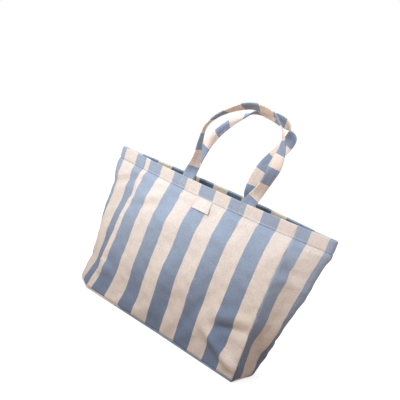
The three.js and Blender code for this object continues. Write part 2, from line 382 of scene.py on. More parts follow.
def hem_puckers(s, z, seed):
    """The topstitching draws the cloth in, and the single cloth swells out just below the stiff hem."""
    swell = HEM_SWELL + HEM_SWELL_WAVES * ripples(s, 0 * s, 0.050, seed)
    pucker = HEM_PUCKERS * ripples(s, 0 * s, 0.011, seed + 1)
    below = bell(z - (HEM_LINE - 0.011), 0.007)
    stitched = bell(z - (HEM_LINE + TOPSTITCH), 0.0025)
    hem = bell(z - (HEM_LINE + 0.012), 0.008)
    fold = bell(z - HEM_LINE, 0.0013)
    drawn = pucker * (below + 0.5 * stitched + 0.4 * hem)
    return swell * below + HEM_FOLD * fold + HEM_STITCHED * stitched + drawn


def seam_puckers(wall, s, z, seed):
    """Short dimples square to each upright seam and to the base seam."""
    side = bell(wall.half - np.abs(s), 0.010)
    foot = bell(z - BASE_SEAM, 0.012)
    dimples = SIDE_DIMPLES * ripples(0 * z, z, 0.016, seed) * side
    return dimples + FOOT_DIMPLES * ripples(s, 0 * s, 0.020, seed + 1) * foot


# ---- mesh helpers

def add_object(name, data):
    """A new object in the scene."""
    made = bpy.data.objects.new(name, data)
    bpy.context.scene.collection.objects.link(made)
    return made


def gaps(points):
    """The distance from each point to the next."""
    return np.linalg.norm(np.diff(points, axis=0), axis=-1)


def running_total(lengths):
    """How far along each point is, from the lengths between them."""
    return np.concatenate([[0.0], np.cumsum(lengths)])


def read_along(places, run, values):
    """Rows of values that are known along a run, read at the places."""
    return np.stack([np.interp(places, run, column) for column in values.T], axis=-1)


def make_piece(name, points, faces, uv, material):
    """A smooth-shaded mesh object with its cloth coordinates, in metres, in a UV map named cloth."""
    mesh = bpy.data.meshes.new(name)
    mesh.from_pydata([tuple(p) for p in points], [], faces)
    layer = mesh.uv_layers.new(name="cloth")
    corners = np.zeros(len(mesh.loops), int)
    mesh.loops.foreach_get("vertex_index", corners)
    layer.data.foreach_set("uv", np.asarray(uv, np.float32)[corners].ravel())
    mesh.polygons.foreach_set("use_smooth", np.ones(len(mesh.polygons), bool))
    mesh.materials.append(material)
    mesh.update()
    return add_object(name, mesh)


def grid_normals(grid, closed=False):
    """Unit vectors square to a grid of points. A closed grid's last column meets its first."""
    if closed:
        across = np.roll(grid, -1, axis=1) - np.roll(grid, 1, axis=1)
    else:
        across = np.gradient(grid, axis=1)
    return unit(np.cross(across, np.gradient(grid, axis=0)))


def grid_faces(rows, columns, closed):
    """The faces of a grid of points. A closed grid's last column meets its first."""
    faces = []
    for r in range(rows - 1):
        for c in range(columns if closed else columns - 1):
            d = (c + 1) % columns
            faces.append([r * columns + c, r * columns + d, (r + 1) * columns + d, (r + 1) * columns + c])
    return faces


def slab(name, grid, thickness, uv, material, closed=False):
    """A closed sheet of even thickness about a grid of points."""
    rows, columns = grid.shape[:2]
    normals = grid_normals(grid, closed)
    layers = [grid + normals * thickness / 2, grid - normals * thickness / 2]
    points = np.concatenate([layer.reshape(-1, 3) for layer in layers])
    inner = rows * columns
    top = inner - columns
    right = columns - 1
    faces = []
    for corners in grid_faces(rows, columns, closed):
        faces.append(corners)
        faces.append([inner + k for k in reversed(corners)])
    for c in range(columns if closed else right):
        d = (c + 1) % columns
        faces.append([c, inner + c, inner + d, d])
        faces.append([top + d, inner + top + d, inner + top + c, top + c])
    if not closed:
        for low in range(0, top, columns):
            high = low + columns
            faces.append([low, high, inner + high, inner + low])
            faces.append([low + right, inner + low + right, inner + high + right, high + right])
    flat_uv = np.asarray(uv, float).reshape(-1, 2)
    return make_piece(name, points, faces, np.concatenate([flat_uv, flat_uv]), material)


def steps(start, end, size):
    """Evenly spaced values from start to end, about size apart, both ends included."""
    count = max(int(round(abs(end - start) / size)), 1)
    return np.linspace(start, end, count + 1)


STITCH_SIDES = 6

# A stitch's rings: share of its length along it, and share of its width
STITCH_RINGS = [(-0.5, 0.25), (-0.38, 0.8), (0.0, 1.0), (0.38, 0.8), (0.5, 0.25)]


def stitches(name, places, alongs, outs, material, length=STITCH_LENGTH, width=THREAD):
    """A row of separate stitches: each is a small rounded bar of thread, lying along the cloth."""
    sides = STITCH_SIDES
    points = []
    faces = []
    for place, along, out in zip(places, unit(alongs), unit(outs)):
        side = np.cross(out, along)
        start = len(points)
        for share, swell in STITCH_RINGS:
            middle = place + along * share * length + out * width * (0.32 - 0.5 * abs(share))
            for k in range(sides):
                angle = math.tau * k / sides
                turn = side * math.cos(angle) + out * math.sin(angle) * 0.8
                points.append(middle + turn * swell * width / 2)
        last = start + (len(STITCH_RINGS) - 1) * sides
        for low in range(start, last, sides):
            for k in range(sides):
                n = (k + 1) % sides
                faces.append([low + k, low + n, low + sides + n, low + sides + k])
        faces.append([start + k for k in reversed(range(sides))])
        faces.append([last + k for k in range(sides)])
    points = np.array(points)
    return make_piece(name, points, faces, points[:, [0, 2]], material)


def finish_mesh(piece, close=False):
    """Makes a closed piece's faces point out, once any slit along its middle is filled."""
    mesh = bmesh.new()
    mesh.from_mesh(piece.data)
    if close:
        bmesh.ops.remove_doubles(mesh, verts=mesh.verts, dist=0.00002)
        bmesh.ops.holes_fill(mesh, edges=mesh.edges, sides=0)
    bmesh.ops.recalc_face_normals(mesh, faces=mesh.faces)
    mesh.to_mesh(piece.data)
    mesh.free()


def sew_on(piece, slot, *cad_nodes):
    """Puts a piece on the bag in place of its CAD nodes; the slot is not used."""
    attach(piece, "bag")
    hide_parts(*cad_nodes)


# ---- materials

class Nodes:
    """Short calls for building a material's nodes."""

    def __init__(self, name):
        self.material = bpy.data.materials.new(name)
        self.material.use_nodes = True
        self.tree = self.material.node_tree
        self.shader = self.tree.nodes["Principled BSDF"]

    def link(self, source, target):
        """Feeds a socket from a node's output or from a plain value."""
        if isinstance(source, bpy.types.NodeSocket):
            self.tree.links.new(source, target)
        else:
            target.default_value = source

    def set(self, socket, value):
        """Feeds one of the shader's sockets."""
        self.link(value, self.shader.inputs[socket])

    def add(self, kind, **inputs):
        """A new node, with some of its sockets fed by name."""
        node = self.tree.nodes.new("ShaderNode" + kind)
        for name, value in inputs.items():
            self.link(value, node.inputs[name])
        return node

    def math(self, operation, first, second=0.0, third=0.0, clamp=False):
        """One operation on numbers."""
        node = self.add("Math")
        node.operation = operation
        node.use_clamp = clamp
        for value, socket in zip((first, second, third), node.inputs):
            self.link(value, socket)
        return node.outputs[0]

    def cloth(self):
        """The cloth coordinates as one vector, and as two numbers."""
        node = self.add("UVMap")
        node.uv_map = "cloth"
        split = self.add("SeparateXYZ", Vector=node.outputs["UV"])
        return node.outputs["UV"], split.outputs["X"], split.outputs["Y"]

    def noise(self, vector, scale, detail=2.0, roughness=0.5):
        """Uneven patches, about one over the scale in size."""
        node = self.add("TexNoise", Vector=vector, Scale=scale, Detail=detail, Roughness=roughness)
        return node.outputs["Fac"]

    def streaks(self, vector, across, up, detail=1.0, roughness=0.5):
        """Noise with one scale across the cloth and another up it."""
        mapped = self.add("Mapping", Vector=vector, Scale=(across, up, 1.0))
        return self.noise(mapped.outputs["Vector"], 1.0, detail, roughness)

    def ramp(self, value, low, high, out_low=0.0, out_high=1.0):
        """Maps a value from one range to another, smoothly and with its ends held."""
        node = self.add("MapRange")
        node.interpolation_type = "SMOOTHSTEP"
        for number, socket in zip((value, low, high, out_low, out_high), node.inputs):
            self.link(number, socket)
        return node.outputs["Result"]

    def mix(self, share, first, second, blend="MIX"):
        """Two colours mixed by the share of the second."""
        node = self.add("Mix")
        node.data_type = "RGBA"
        node.blend_type = blend
        self.link(share, node.inputs["Factor"])
        self.link(first, node.inputs[6])
        self.link(second, node.inputs[7])
        return node.outputs[2]

    def bump(self, height, distance, normal=None):
        """A surface roughened by a height, on top of an earlier one."""
        node = self.add("Bump", Distance=distance, Height=height)
        if normal is not None:
            self.link(normal, node.inputs["Normal"])
        return node.outputs["Normal"]


def weave(n, u, v, yarn):
    """The ups and downs of a plain weave."""
    warp = n.math("SINE", n.math("MULTIPLY", u, math.tau / yarn))
    weft = n.math("SINE", n.math("MULTIPLY", v, math.tau / yarn))
    return n.math("MULTIPLY", warp, weft)


# The stripes' colours on the base and handles, then painted shade and light on the walls
BLUE = (0.240, 0.300, 0.425, 1.0)
BLUE_FADED = (0.285, 0.350, 0.480, 1.0)
CREAM = (0.800, 0.685, 0.620, 1.0)
CREAM_PALE = (0.830, 0.725, 0.665, 1.0)
# Low and high on the walls: painted shade at the foot, painted light towards the rim
BLUE_FOOT_SHADED = (0.185, 0.230, 0.330, 1.0)
BLUE_RIM_LIT = (0.360, 0.430, 0.555, 1.0)
CREAM_FOOT_SHADED = (0.765, 0.645, 0.565, 1.0)
CREAM_RIM_LIT = (0.810, 0.725, 0.680, 1.0)
# Inside the hem: painted shade, darker and browner stripes within the mouth
INSIDE_BLUE_SHADED = (0.100, 0.130, 0.165, 1.0)
INSIDE_CREAM_SHADED = (0.620, 0.510, 0.350, 1.0)
# Painted shade: how far the stripes darken in the groove under the hem and along the base seam
GROOVE_SHADE_TINT = (0.55, 0.53, 0.52, 1.0)

# How far up the cloth the hem's foot is, and a stripe's soft edge, as a share of two stripes
HEM_FOOT = HEM_LINE - BASE_SEAM + 0.001
STRIPE_EDGE = 0.006


def stripes(n, cloth, u):
    """1 on the cream stripes and 0 on the blue ones, with slightly uneven edges."""
    wander = n.math("MULTIPLY_ADD", n.streaks(cloth, 20.0, 260.0, 2.0), 0.0012, -0.0006)
    turn = n.math("FRACT", n.math("DIVIDE", n.math("ADD", u, wander), 2 * STRIPE))
    rise = n.ramp(turn, 0.5 - STRIPE_EDGE, 0.5 + STRIPE_EDGE)
    first = n.ramp(turn, 0.0, STRIPE_EDGE, 1.0, 0.0)
    last = n.ramp(turn, 1.0 - STRIPE_EDGE, 1.0, 0.0, 1.0)
    return n.math("SUBTRACT", n.math("MAXIMUM", rise, first), last, clamp=True)


def wall_colour(n, cream_share, patch, u, v):
    """A wall's stripes, with painted shade low down, painted light towards the rim, painted shade in the
    groove under the hem and along the base seam, and darker, browner painted shade inside the hem.
    """
    # Painted shade and light: the stripes darken towards the foot and lighten towards the rim
    leant = n.math("MULTIPLY_ADD", u, -0.25, v)
    lit_share = n.ramp(n.math("MULTIPLY_ADD", patch, 0.06, leant), 0.03, 0.33)
    blue = n.mix(lit_share, BLUE_FOOT_SHADED, BLUE_RIM_LIT)
    cream = n.mix(lit_share, CREAM_FOOT_SHADED, CREAM_RIM_LIT)
    colour = n.mix(cream_share, blue, cream)
    # Painted shade: the cloth inside the hem, within the mouth, turns darker and browner
    inside = n.ramp(v, BAG_HEIGHT - 0.0020, BAG_HEIGHT + 0.0010)
    # Painted shade in the groove under the hem's foot and along the base seam
    below = n.ramp(v, HEM_FOOT - 0.0016, HEM_FOOT)
    above = n.ramp(v, HEM_FOOT, HEM_FOOT + 0.0012, 1.0, 0.0)
    foot = n.ramp(v, 0.0012, 0.0042, 1.0, 0.0)
    groove = n.math("MAXIMUM", n.math("MULTIPLY", below, above), foot)
    colour = n.mix(inside, colour, n.mix(cream_share, INSIDE_BLUE_SHADED, INSIDE_CREAM_SHADED))
    return n.mix(groove, colour, n.mix(1.0, colour, GROOVE_SHADE_TINT, "MULTIPLY"))


def woven(name, yarn=0.0011, crease=0.0005, weave_depth=0.00014, wall=False):
    """Plain-weave cotton canvas, in wide stripes across the first cloth coordinate."""
    n = Nodes(name)
    cloth, u, v = n.cloth()
    slub = n.streaks(cloth, 900.0, 60.0)
    pick = n.streaks(cloth, 60.0, 900.0)
    patch = n.noise(cloth, 22.0, 3.0, 0.6)
    cream_share = stripes(n, cloth, u)
    if wall:
        colour = wall_colour(n, cream_share, patch, u, v)
    else:
        tint = n.ramp(patch, 0.3, 0.7)
        colour = n.mix(cream_share, n.mix(tint, BLUE, BLUE_FADED), n.mix(tint, CREAM, CREAM_PALE))
    threads = n.math("ADD", slub, pick)
    grain = n.streaks(cloth, 420.0, 260.0, 2.0, 0.6)
    flecks = n.ramp(n.math("MULTIPLY_ADD", grain, 1.2, threads), 1.1, 2.1, 0.88, 1.10)
    grey = n.add("CombineColor", Red=flecks, Green=flecks, Blue=flecks)
    n.set("Base Color", n.mix(1.0, colour, grey.outputs[0], "MULTIPLY"))
    surface = n.math("MULTIPLY_ADD", threads, 0.8, weave(n, u, v, yarn))
    crumple = n.noise(cloth, 45.0, 2.0, 0.5)
    n.set("Normal", n.bump(crumple, crease, n.bump(surface, weave_depth)))
    n.set("Roughness", n.ramp(patch, 0.2, 0.8, 0.82, 0.96))
    n.set("Sheen Weight", 0.15)
    n.set("Sheen Roughness", 0.5)
    n.set("Specular IOR Level", 0.25)
    return n.material


def plain_cloth(name, dark, light, yarn=0.0006):
    """Fine plain cloth for the label and the seam tape."""
    n = Nodes(name)
    cloth, u, v = n.cloth()
    patch = n.noise(cloth, 60.0, 3.0)
    n.set("Base Color", n.mix(n.ramp(patch, 0.3, 0.7), dark, light))
    fine = n.bump(weave(n, u, v, yarn), 0.00008)
    n.set("Normal", n.bump(n.noise(cloth, 90.0, 2.0), 0.0004, fine))
    n.set("Roughness", n.ramp(patch, 0.2, 0.8, 0.75, 0.9))
    n.set("Sheen Weight", 0.1)
    n.set("Specular IOR Level", 0.25)
    return n.material


def sewing_thread(name):
    """Twisted cotton thread, a little shiny."""
    n = Nodes(name)
    cloth, _, _ = n.cloth()
    twist = n.streaks(cloth, 2600.0, 900.0)
    n.set("Base Color", n.mix(n.ramp(twist, 0.3, 0.7), (0.60, 0.56, 0.54, 1.0), (0.80, 0.76, 0.73, 1.0)))
    n.set("Normal", n.bump(twist, 0.0001))
    n.set("Roughness", n.ramp(twist, 0.2, 0.8, 0.55, 0.7))
    n.set("Sheen Weight", 0.2)
    return n.material


STRIPED = woven("striped_canvas", wall=True)
BASE_CLOTH = woven("base_canvas")
HANDLE_CLOTH = woven("handle_canvas", yarn=0.0010, crease=0.0003, weave_depth=0.00005)
TAPE = plain_cloth("seam_tape", (0.66, 0.58, 0.50, 1.0), (0.78, 0.71, 0.63, 1.0), 0.0009)
LABEL = plain_cloth("label_cloth", (0.74, 0.67, 0.61, 1.0), (0.80, 0.74, 0.69, 1.0))
THREAD_LOOK = sewing_thread("thread")


# ---- settling the cloth

def tube_points(walls):
    """The walls' points as one closed tube, each seam's column once."""
    return np.concatenate([wall.grid[:, :-1] for wall in walls], axis=1)


def settle(walls):
    """Simulates the cloth between the base seam and the hem, and gives the walls their new points."""
    tube = tube_points(walls)
    rows, columns = tube.shape[:2]
    mesh = bpy.data.meshes.new("settling")
    mesh.from_pydata([tuple(p) for p in tube.reshape(-1, 3)], [], grid_faces(rows, columns, True))
    cloth = add_object("settling", mesh)
    hold_rows(cloth, tube, columns)
    add_cloth(cloth)
    scene = bpy.context.scene
    scene.frame_start = 1
    scene.frame_end = SETTLE_FRAMES
    for number in range(1, SETTLE_FRAMES + 1):
        scene.frame_set(number)
    evaluated = cloth.evaluated_get(bpy.context.evaluated_depsgraph_get())
    settled = np.zeros(rows * columns * 3)
    evaluated.data.vertices.foreach_get("co", settled)
    settled = settled.reshape(rows, columns, 3)
    bpy.data.objects.remove(cloth)
    scene.frame_set(1)
    start = 0
    for wall in walls:
        width = wall.grid.shape[1] - 1
        picked = [(start + k) % columns for k in range(width + 1)]
        wall.set_grid(settled[:, picked])
        start += width


def hold_rows(cloth, tube, columns):
    """Pins the base seam fully and the hem nearly so."""
    held = cloth.vertex_groups.new(name="held")
    for r, z in enumerate(tube[:, 0, 2]):
        if r == 0 or z > HEM_LINE - 0.002:
            row = [r * columns + c for c in range(columns)]
            held.add(row, HEM_HOLD if r else 1.0, "REPLACE")


# How stiffly the canvas resists each kind of strain, and how strongly that is damped
CANVAS_SPRINGS = [("tension", 30, 10), ("compression", 30, 10), ("shear", 15, 10), ("bending", 8, 1)]


def add_cloth(cloth):
    """Heavy canvas: it hardly stretches, bends stiffly and is slightly larger than its frame."""
    modifier = cloth.modifiers.new("Cloth", "CLOTH")
    settings = modifier.settings
    settings.quality = 5
    settings.mass = 0.02
    for kind, stiffness, damping in CANVAS_SPRINGS:
        setattr(settings, kind + "_stiffness", stiffness)
        setattr(settings, kind + "_damping", damping)
    settings.air_damping = 2
    settings.vertex_group_mass = "held"
    settings.pin_stiffness = 5
    settings.shrink_min = -0.004
    settings.effector_weights.gravity = 0.3
    modifier.collision_settings.use_collision = False
    modifier.point_cache.frame_start = 1
    modifier.point_cache.frame_end = SETTLE_FRAMES


# ---- cloth walls

def wall_profile():
    """Up the wall from the base seam, over the rim and down inside the hem: heights and offsets."""
    rolled = [(0.0, -0.0018), (0.0004, -0.0009), (0.0013, -0.0002), (0.003, 0.0)]
    path = [(BASE_SEAM + up, offset) for up, offset in rolled]
    path += [(z, 0.0) for z in steps(BASE_SEAM + 0.006, HEM_LINE - 0.014, CLOTH_STEP)]
    path += [(z, 0.0) for z in steps(HEM_LINE - 0.012, BAG_HEIGHT - 0.0016, HEM_STEP)]
    half = HEM_OFFSET / 2
    for degrees in (20, 50, 80, 100, 130, 160):
        angle = math.radians(degrees)
        path.append((BAG_HEIGHT - half + half * math.sin(angle), -half + half * math.cos(angle)))
    path += [(z, -HEM_OFFSET) for z in steps(BAG_HEIGHT - 0.0016, HEM_LINE + 0.0005, 0.0030)]
    return np.array(path).T


def wall_columns(wall):
    """Places across a wall, closer together at its two seams, and how far each is rolled in."""
    near = np.array([0.0, 0.0007, 0.0017, 0.0032])
    rolled = np.array([-0.0016, -0.0007, -0.0002, 0.0])
    middle = steps(-wall.half + 0.006, wall.half - 0.006, CLOTH_STEP)
    columns = np.concatenate([-wall.half + near, middle, wall.half - near[::-1]])
    offsets = np.concatenate([rolled, np.zeros(len(middle)), rolled[::-1]])
    return columns, offsets


def seam_normals(walls, order, z):
    """Unit vectors that halve the corner between a wall and the next, at heights z."""
    wall = walls[order % 4]
    following = walls[(order + 1) % 4]
    ending = wall.normal(np.full_like(z, wall.half), z)
    starting = following.normal(np.full_like(z, -following.half), z)
    return unit(ending + starting)


def make_wall(walls, wall):
    """One wall of canvas with its hem, its edges rolled in at the seams."""
    heights, path_offsets = wall_profile()
    columns, side_offsets = wall_columns(wall)
    s, z = np.meshgrid(columns, heights)
    normals = wall.normal(s, z)
    normals[:, 0] = seam_normals(walls, wall.order - 1, heights)
    normals[:, -1] = seam_normals(walls, wall.order, heights)
    outside = np.where(path_offsets < -HEM_OFFSET * 0.9, 0.0, 1.0)[:, None]
    lift = relief(wall, s, z) + path_offsets[:, None] + outside * side_offsets[None, :]
    grid = wall.smooth(s, z) + normals * lift[..., None]
    length = running_total(np.hypot(np.diff(heights), np.diff(path_offsets)))
    u = s + wall.phase * STRIPE
    v = np.broadcast_to(length[:, None], s.shape)
    piece = slab(wall.name + "_canvas", grid, CANVAS, np.stack([u, v], axis=-1), STRIPED)
    sew_on(piece, "striped_canvas", wall.name)


def base_outline(walls, inset):
    """Points round the base seam, drawn in by inset."""
    bottom = tube_points(walls)[0]
    ahead = np.roll(bottom, -1, axis=0) - np.roll(bottom, 1, axis=0)
    out = unit(np.stack([ahead[:, 1], -ahead[:, 0], 0 * ahead[:, 0]], axis=-1))
    return bottom - out * inset


def at_height(ring, height):
    """A ring of points, all at one height."""
    return np.column_stack([ring[:, :2], np.full(len(ring), height)])


# The base's edge, going outwards: how far inside the seam, and height
BASE_EDGE = [
    (0.0075, CANVAS / 2), (0.0045, CANVAS / 2), (0.0022, 0.0009), (0.0009, 0.0020), (0.0004, 0.0034),
    (0.0005, 0.0043), (0.0012, 0.0048), (0.0022, 0.0049),
]


def make_base(walls):
    """The base panel: flat underneath, turned up all round to its seam, striped along its length."""
    outline = base_outline(walls, 0.0)
    spine = np.zeros_like(outline)
    spine[:, 0] = np.clip(outline[:, 0], -SPINE_HALF, SPINE_HALF)
    shares = np.linspace(0.02, 0.94, 14)
    flat = [at_height(spine + (outline - spine) * share, CANVAS / 2) for share in shares]
    edge = [at_height(base_outline(walls, inset), height) for inset, height in BASE_EDGE]
    grid = np.array(flat + edge)[::-1]
    uv = np.stack([grid[..., 1] + PANEL_PHASE * STRIPE, grid[..., 0]], axis=-1)
    piece = slab("base_canvas", grid, CANVAS, uv, BASE_CLOTH, closed=True)
    finish_mesh(piece, close=True)
    sew_on(piece, "base_canvas", "base_panel")


# ---- seam tapes

def make_seam_tape(walls, order, name):
    """Tape folded over the two raw edges of an upright seam, standing into the bag."""
    wall = walls[order]
    z = steps(0.016, HEM_LINE - 0.005, 0.006)
    corner = wall.smooth(np.full_like(z, wall.half), z)
    inward = -unit(seam_normals(walls, order, z) * np.array([1.0, 1.0, 0.0]))
    across = np.linspace(TAPE_START, TAPE_START + BINDING_WIDTH, 5)
    grid = corner[:, None] + inward[:, None] * across[None, :, None]
    wave = TAPE_WAVE * np.sin(z / 0.011 + order)
    grid[..., 1] += wave[:, None] * (across / across[-1])[None, :]
    uv = np.stack(np.meshgrid(across, z), axis=-1)
    sew_on(slab(name + "_tape", grid, TAPE_CLOTH, uv, TAPE), "seam_tape", name)


def make_base_tape(walls):
    """Tape over the base seam's raw edge, all round inside."""
    outline = base_outline(walls, 0.0036)
    heights = np.linspace(0.0064, 0.0064 + BINDING_WIDTH, 4)
    grid = np.array([at_height(outline, height) for height in heights])
    along = running_total(gaps(grid[0]))
    uv = np.stack(np.broadcast_arrays(along[None, :], grid[..., 2]), axis=-1)
    piece = slab("base_seam_tape", grid, TAPE_CLOTH, uv, TAPE, closed=True)
    sew_on(piece, "seam_tape", "base_seam_binding")


# ---- handles

BAND_STEP = 0.0025

# Each row: share of the spacing across, share of the rise up, y, and the band's turn in degrees
FRONT_ROUTE = [
    (-0.485, 0.10, -0.0175, 38), (-0.475, 0.25, -0.018, 76), (-0.495, 0.43, -0.019, 98),
    (-0.49, 0.61, -0.020, 103), (-0.36, 0.77, -0.020, 95), (-0.16, 0.90, -0.020, 80),
    (0.05, 0.985, -0.020, 66), (0.26, 1.005, -0.020, 60), (0.44, 0.975, -0.020, 66),
    (0.58, 0.88, -0.020, 74), (0.67, 0.725, -0.020, 48), (0.675, 0.54, -0.019, 6),
    (0.64, 0.34, -0.018, -50), (0.57, 0.15, -0.0175, -44),
]
BACK_ROUTE = [
    (-0.475, 0.10, 0.0175, 0), (-0.44, 0.25, 0.018, -8), (-0.37, 0.44, 0.019, -18),
    (-0.26, 0.61, 0.020, -30), (-0.10, 0.77, 0.020, -44), (0.06, 0.875, 0.020, -68),
    (0.20, 0.94, 0.020, -102), (0.38, 0.955, 0.020, -130), (0.56, 0.94, 0.020, -146),
    (0.70, 0.90, 0.020, -122), (0.765, 0.80, 0.020, -42), (0.73, 0.69, 0.020, -8),
    (0.65, 0.57, 0.019, -6), (0.56, 0.43, 0.019, -10), (0.505, 0.27, 0.018, -20), (0.49, 0.10, 0.0175, -24),
]


def sewn_points(wall, x, outward):
    """The band's middle line where it is sewn behind the hem, from its raw end up to the rim."""
    s = -outward * x
    raw_end = BAG_HEIGHT - SEWN_END_LENGTH + 0.0010
    z = np.array([raw_end, BAG_HEIGHT - 0.015, BAG_HEIGHT - 0.007, BAG_HEIGHT])
    depth = HEM_OFFSET + CANVAS / 2 + STRAP_THICKNESS / 2 + 0.0004
    points = wall.point(np.full_like(z, s), z, -depth)
    above = points[-1] + np.array([0.0, 0.0, RIM_LIFT])
    return np.concatenate([points, above[None]])


def handle_line(wall, route, centre_x, outward):
    """A handle's middle line, sampled evenly, with the band's turn at each sample."""
    half = STRAP_SPACING / 2
    left = sewn_points(wall, centre_x - half, outward)
    right = sewn_points(wall, centre_x + half, outward)
    root_z = left[-1, 2]
    loop = [(centre_x + a * STRAP_SPACING, y, root_z + b * STRAP_RISE) for a, b, y, _ in route]
    points = np.concatenate([left, np.array(loop), right[::-1]])
    turns = np.concatenate([np.zeros(len(left)), [row[3] for row in route], np.zeros(len(right))])
    knots = running_total(np.sqrt(gaps(points)))
    spans = [np.linspace(a, b, 24, endpoint=False) for a, b in zip(knots[:-1], knots[1:])]
    fine = np.concatenate(spans + [knots[-1:]])
    smooth_points = through_points(knots, points, fine)
    smooth_turns = through_points(knots, turns[:, None], fine)[:, 0]
    arc = running_total(gaps(smooth_points))
    even = steps(0.0, arc[-1], BAND_STEP)
    return even, read_along(even, arc, smooth_points), np.interp(even, arc, smooth_turns)


def through_points(knots, values, places):
    """A smooth curve through values at uneven knots, read at the places."""
    slopes = np.gradient(values, knots, axis=0)
    index = np.clip(np.searchsorted(knots, places, side="right") - 1, 0, len(knots) - 2)
    span = (knots[index + 1] - knots[index])[:, None]
    t = (places - knots[index])[:, None] / span
    return (
        values[index] * (2 * t ** 3 - 3 * t ** 2 + 1)
        + slopes[index] * span * (t ** 3 - 2 * t ** 2 + t)
        + values[index + 1] * (3 * t ** 2 - 2 * t ** 3)
        + slopes[index + 1] * span * (t ** 3 - t ** 2)
    )


def band_frames(line, turns):
    """The band's direction, width direction and face direction at each sample."""
    tangent = unit(np.gradient(line, axis=0))
    plane = unit(np.stack([-tangent[:, 2], 0 * tangent[:, 0], tangent[:, 0]], axis=-1))
    angle = np.radians(turns)[:, None]
    width = plane * np.cos(angle) + np.array([0.0, -1.0, 0.0]) * np.sin(angle)
    width = unit(width - tangent * np.sum(width * tangent, axis=-1, keepdims=True))
    return tangent, width, np.cross(width, tangent)


# Half of the band's section: shares of its half width and of its half thickness
BAND_SECTION = [
    (1.0, 0.0), (0.985, 0.55), (0.94, 0.88), (0.86, 1.0), (0.80, 0.86), (0.74, 1.0), (0.45, 1.0),
    (0.06, 0.97), (0.0, 0.88), (-0.06, 1.02), (-0.45, 1.0), (-0.74, 1.0), (-0.80, 0.86), (-0.86, 1.0),
    (-0.94, 0.88), (-0.985, 0.55),
]
EDGE_STITCH = 0.80


def band_grid(along, line, width, face):
    """Points round the band at each sample, and their places across it."""
    section = BAND_SECTION + [(-a, -b) for a, b in BAND_SECTION]
    across = np.array([a for a, _ in section]) * (STRAP_WIDTH / 2)
    swell = 1 + 0.06 * ripples(along, 0 * along, 0.028, 71)
    points = []
    for place, (_, out) in zip(across, section):
        ripple = 0.0002 * ripples(along, 0 * along + place, 0.02, 72)
        lift = out * (STRAP_THICKNESS / 2) * swell + ripple
        points.append(line + width * place + face * lift[:, None])
    return np.stack(points, axis=1), across


def make_handle(name, wall, route, centre_x, outward, start, crowded, cad_nodes):
    """One handle: a folded canvas band from one sewn end, round the loop, to the other.

    Its stripes begin at start, and more cloth is crowded in between two shares of its length.
    """
    along, line, turns = handle_line(wall, route, centre_x, outward)
    tangent, width, face = band_frames(line, turns)
    grid, across = band_grid(along, line, width, face)
    rows, columns = grid.shape[:2]
    faces = [[a, d, c, b] for a, b, c, d in grid_faces(rows, columns, True)]
    faces.append(list(range(columns)))
    faces.append([(rows - 1) * columns + c for c in reversed(range(columns))])
    first, last, extra = crowded
    gathered = extra * np.clip((along / along[-1] - first) / (last - first), 0, 1)
    uv = np.stack(np.broadcast_arrays((along + start + gathered)[:, None], across[None, :]), axis=-1)
    band = make_piece(name + "_band", grid.reshape(-1, 3), faces, uv.reshape(-1, 2), HANDLE_CLOTH)
    finish_mesh(band)
    thread = band_stitches(name, along, line, tangent, width, face)
    for piece, material_slot in ((band, "handle_canvas"), (thread, "thread")):
        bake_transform(piece)
    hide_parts(*cad_nodes)


def joined(rows):
    """Rows of stitches as one: their places, directions and outward directions."""
    return [np.concatenate(parts) for parts in zip(*rows)]


def band_stitches(name, along, line, tangent, width, face):
    """Two rows of stitches on each face of a handle, near its edges."""
    spots = np.arange(0.003, along[-1] - 0.003, STITCH_PITCH)
    rows = []
    for side in (-1, 1):
        for out in (-1, 1):
            across = width * side * EDGE_STITCH * STRAP_WIDTH / 2
            lifted = line + across + face * out * STRAP_THICKNESS / 2 * 0.86
            rows.append([read_along(spots, along, values) for values in (lifted, tangent, face * out)])
    return stitches(name + "_edge_stitching", *joined(rows), THREAD_LOOK, width=0.0007)


# ---- stitching on the walls

def wall_stitches(wall, path, lift=CANVAS / 2, pitch=STITCH_PITCH):
    """Stitches laid along a path of (s, z) places on a wall's outer face."""
    path = np.array(path, float)
    run = running_total(gaps(path))
    count = max(int(run[-1] / pitch), 1)
    middles = (np.arange(count) + 0.5) * run[-1] / count
    here, ahead, behind = (read_along(middles + step, run, path).T for step in (0.0, 0.0005, -0.0005))
    alongs = wall.point(*ahead, lift) - wall.point(*behind, lift)
    return wall.point(*here, lift), alongs, wall.normal(*here)


def make_hem_topstitch(walls):
    """One line of stitches round the foot of the hem."""
    height = HEM_LINE + TOPSTITCH
    rows = []
    for wall in walls:
        path = [(s, height) for s in np.linspace(-wall.half + 0.002, wall.half - 0.002, 200)]
        rows.append(wall_stitches(wall, path))
    sew_on(stitches("hem_topstitching", *joined(rows), THREAD_LOOK), "thread", "hem_topstitch")


def make_box_stitch(name, wall, x, outward):
    """A box with a cross in it, sewn through the hem and a handle's end."""
    s = -outward * x
    left = s - BOX_WIDTH / 2
    right = s + BOX_WIDTH / 2
    low = BAG_HEIGHT - BOX_DROP
    high = low + BOX_HEIGHT
    a, b, c, d = (left, low), (right, low), (right, high), (left, high)
    paths = [(a, b), (b, c), (c, d), (d, a), (a, c), (d, b)]
    rows = [wall_stitches(wall, path, pitch=0.0029) for path in paths]
    sew_on(stitches(name + "_thread", *joined(rows), THREAD_LOOK, length=0.0024), "thread", name)


# ---- label

